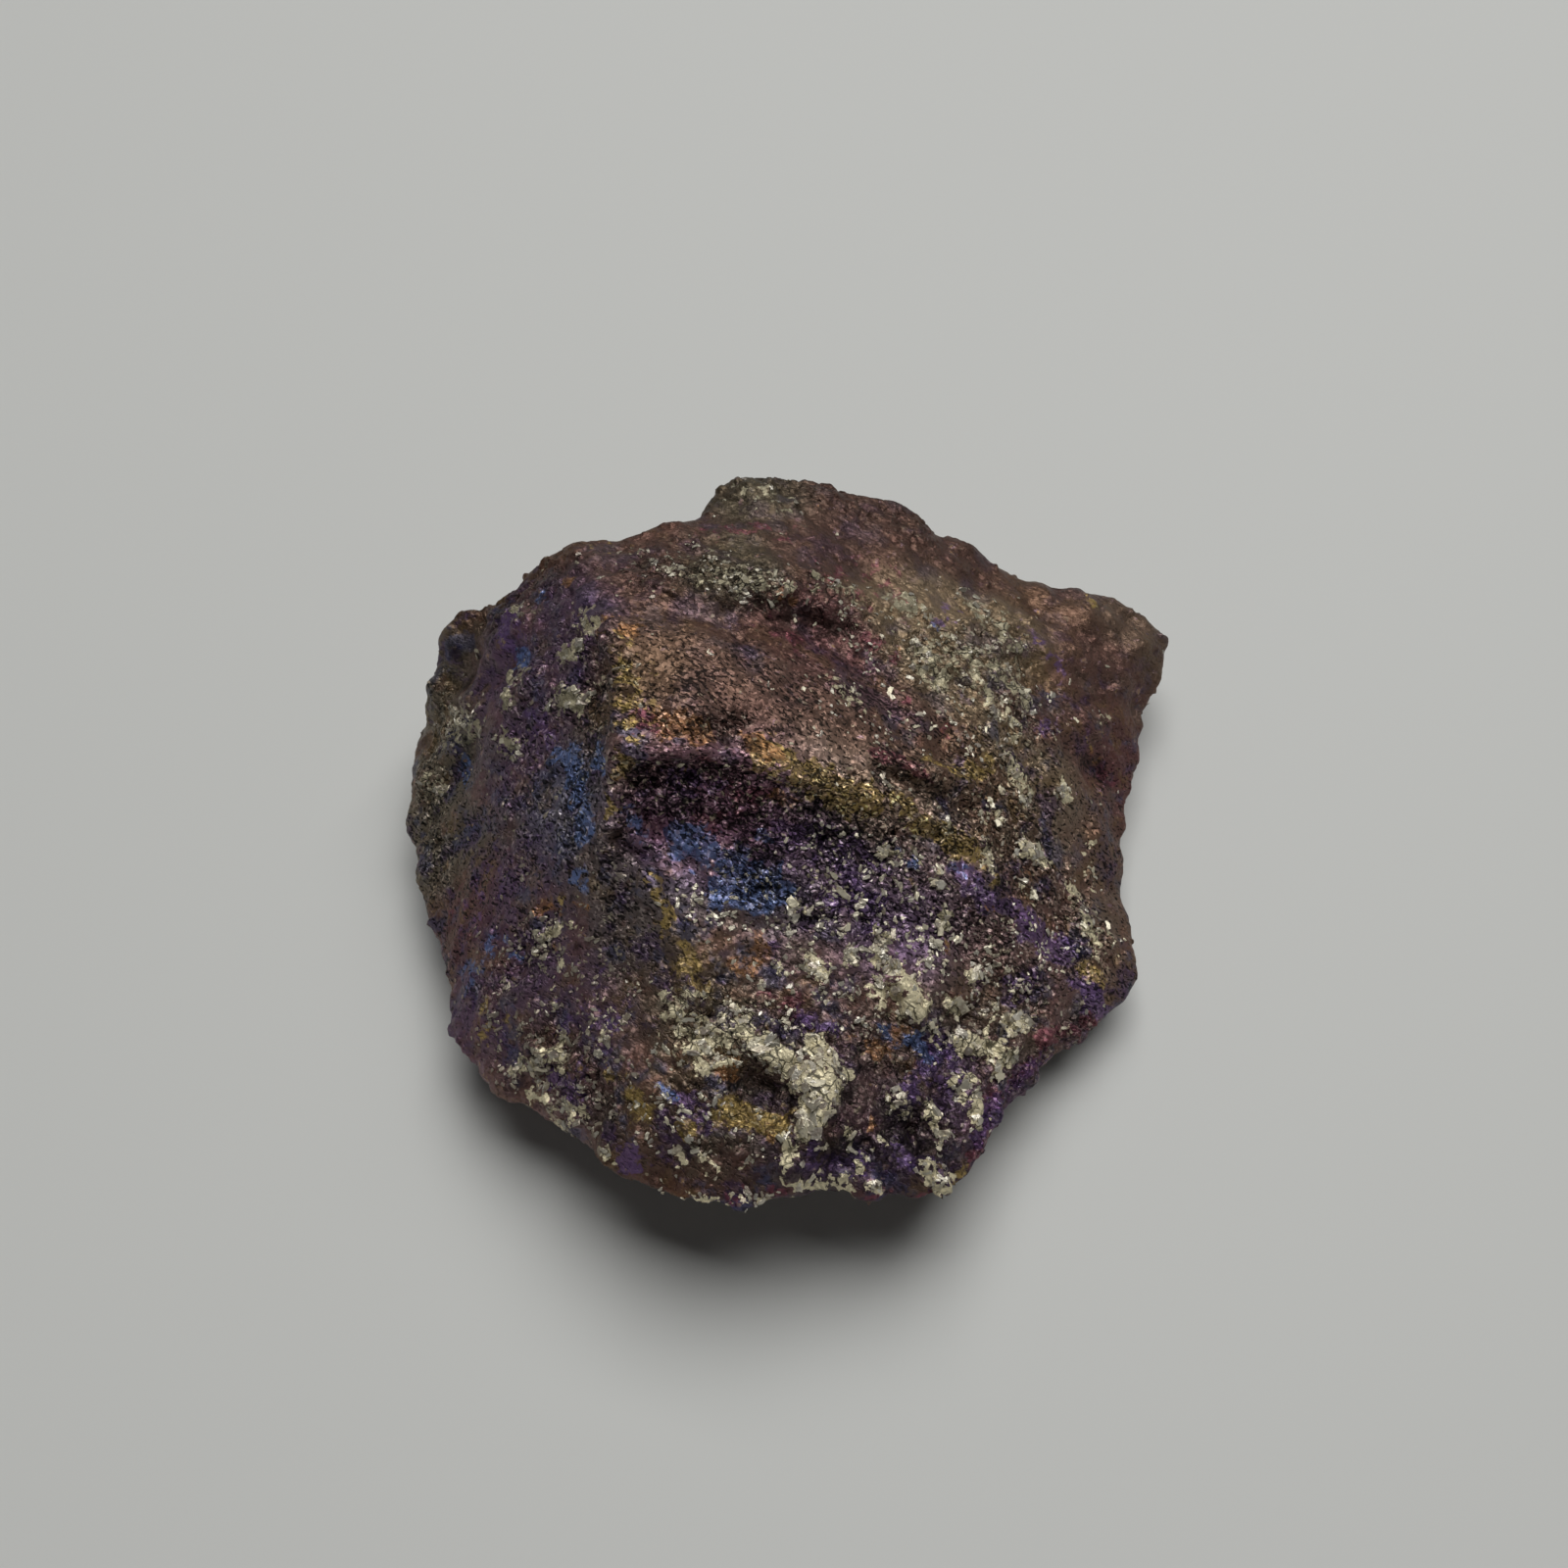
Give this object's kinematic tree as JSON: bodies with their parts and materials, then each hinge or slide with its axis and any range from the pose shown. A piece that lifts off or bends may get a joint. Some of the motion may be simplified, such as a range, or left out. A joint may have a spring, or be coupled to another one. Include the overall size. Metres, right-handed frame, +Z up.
{
  "type": "chalcopyrite specimen",
  "caption": "Broken hand specimen of massive chalcopyrite: a low wedge with a scooped peak, a steep side, a long gentle slope and an overhanging front apron.",
  "frame": {"origin": "middle of the bounding box, on the flat foot that the specimen rests on", "axes": "+Z up, +Y from the overhanging front apron to the back wall, +X from the steep side to the long gentle slope"},
  "size_m": [0.0576, 0.0552, 0.0234],
  "materials": {
    "tarnished_ore": "rough granular metallic fracture under a brown, purple and blue tarnish"
  },
  "bodies": {
    "root": {"chalcopyrite": "tarnished_ore"}
  },
  "joints": []
}
